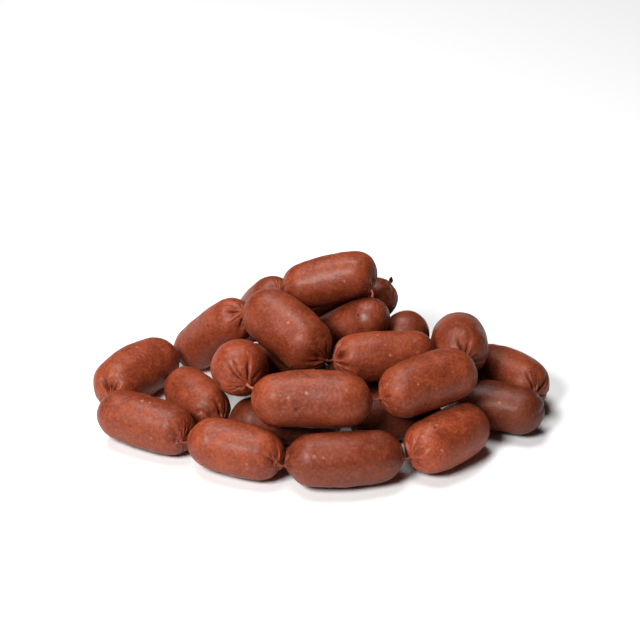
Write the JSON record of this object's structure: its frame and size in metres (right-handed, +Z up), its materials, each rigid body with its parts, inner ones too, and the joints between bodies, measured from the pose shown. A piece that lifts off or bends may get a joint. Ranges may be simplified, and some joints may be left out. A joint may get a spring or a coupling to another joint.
{
  "type": "string of sausage links",
  "caption": "Heap of short, fat smoked sausage links on one string, joined end to end by thin twists of their casing.",
  "frame": {"origin": "on the table, under the middle of the heap's box", "axes": "+Z up; +X to the viewer's right, along the heap's long side; +Y away from the viewer"},
  "size_m": [0.339, 0.2208, 0.1094],
  "materials": {
    "casing": "satin",
    "twisted_casing": "satin"
  },
  "bodies": {
    "root": {"link_01": "casing", "link_02": "casing", "link_03": "casing", "link_04": "casing", "link_05": "casing", "link_06": "casing", "link_07": "casing", "link_08": "casing", "link_09": "casing", "link_10": "casing", "link_11": "casing", "link_12": "casing", "link_13": "casing", "link_14": "casing", "link_15": "casing", "link_16": "casing", "link_17": "casing", "link_18": "casing", "link_19": "casing", "link_20": "casing", "link_21": "casing", "link_22": "casing", "link_23": "casing", "link_24": "casing", "link_25": "casing", "link_26": "casing", "twist_01_02": "twisted_casing", "twist_02_03": "twisted_casing", "twist_03_04": "twisted_casing", "twist_04_05": "twisted_casing", "twist_05_06": "twisted_casing", "twist_06_07": "twisted_casing", "twist_07_08": "twisted_casing", "twist_08_09": "twisted_casing", "twist_09_10": "twisted_casing", "twist_10_11": "twisted_casing", "twist_11_12": "twisted_casing", "twist_12_13": "twisted_casing", "twist_13_14": "twisted_casing", "twist_14_15": "twisted_casing", "twist_15_16": "twisted_casing", "twist_16_17": "twisted_casing", "twist_17_18": "twisted_casing", "twist_18_19": "twisted_casing", "twist_19_20": "twisted_casing", "twist_20_21": "twisted_casing", "twist_21_22": "twisted_casing", "twist_22_23": "twisted_casing", "twist_23_24": "twisted_casing", "twist_24_25": "twisted_casing", "twist_25_26": "twisted_casing", "tail_start": "twisted_casing", "tail_end": "twisted_casing"}
  },
  "joints": []
}
